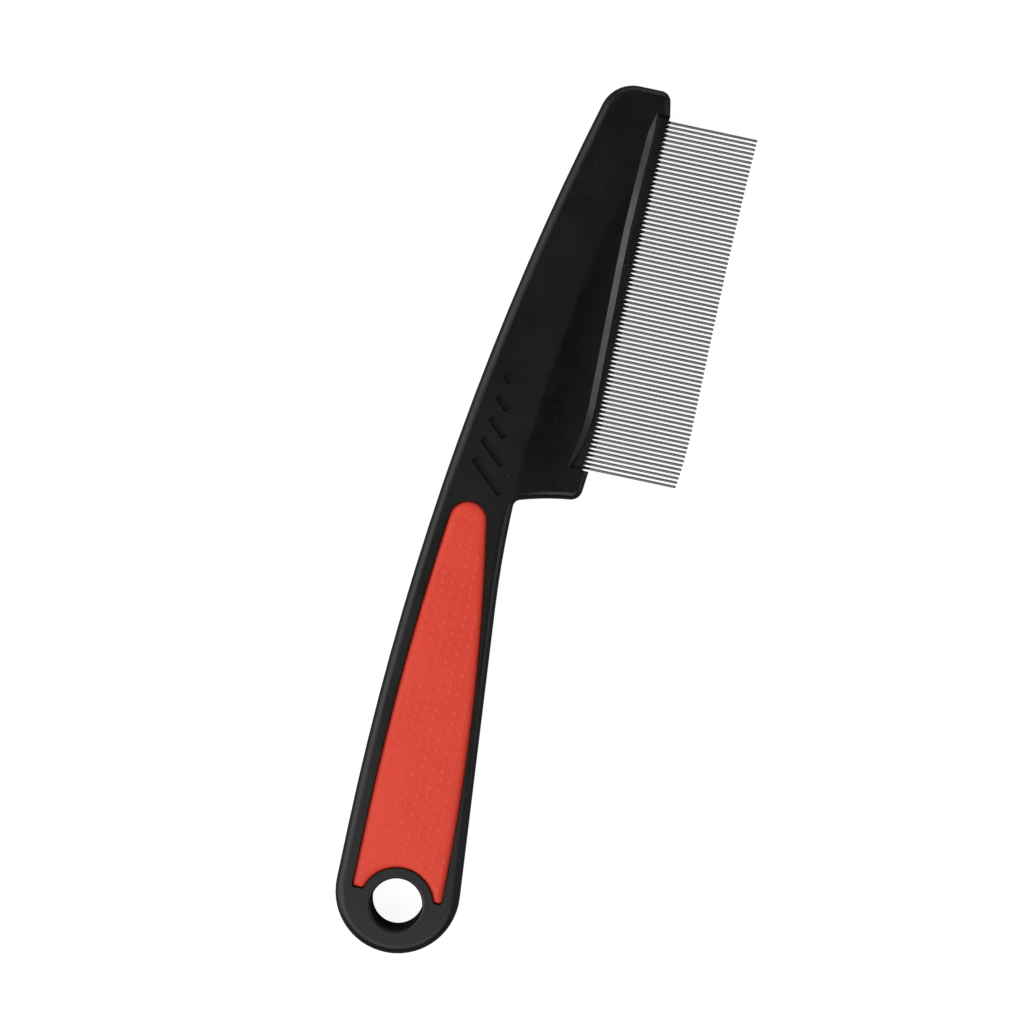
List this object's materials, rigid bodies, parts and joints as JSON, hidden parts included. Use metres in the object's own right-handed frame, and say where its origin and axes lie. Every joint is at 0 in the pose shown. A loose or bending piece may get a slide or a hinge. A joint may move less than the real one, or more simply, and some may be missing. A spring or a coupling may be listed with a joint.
{
  "type": "flea comb",
  "caption": "Flat hand comb with a tapered gripped handle, a hang hole and one close-set row of straight steel pins along the head's edge.",
  "frame": {"origin": "centre of the hang hole at mid thickness", "axes": "+Y from the hang hole to the head's tip, +X the way the pins point, +Z out of the front face"},
  "size_m": [0.0572, 0.1991, 0.01],
  "materials": {
    "black_body": "moulded ABS, satin with a fine even grain",
    "black_bar": "moulded plastic, half gloss",
    "red_grip": "soft moulded elastomer, matte, with fine raised dots",
    "pin_steel": "drawn stainless wire, bright, with rounded tips"
  },
  "bodies": {
    "root": {"handle_body": "black_body", "front_grip": "red_grip", "back_grip": "red_grip", "pin_bar": "black_bar", "comb_pins_01": "pin_steel", "comb_pins_02": "pin_steel", "comb_pins_03": "pin_steel", "comb_pins_04": "pin_steel", "comb_pins_05": "pin_steel", "comb_pins_06": "pin_steel", "comb_pins_07": "pin_steel", "comb_pins_08": "pin_steel", "comb_pins_09": "pin_steel", "comb_pins_10": "pin_steel", "comb_pins_11": "pin_steel", "comb_pins_12": "pin_steel", "comb_pins_13": "pin_steel", "comb_pins_14": "pin_steel", "comb_pins_15": "pin_steel", "comb_pins_16": "pin_steel"}
  },
  "joints": []
}
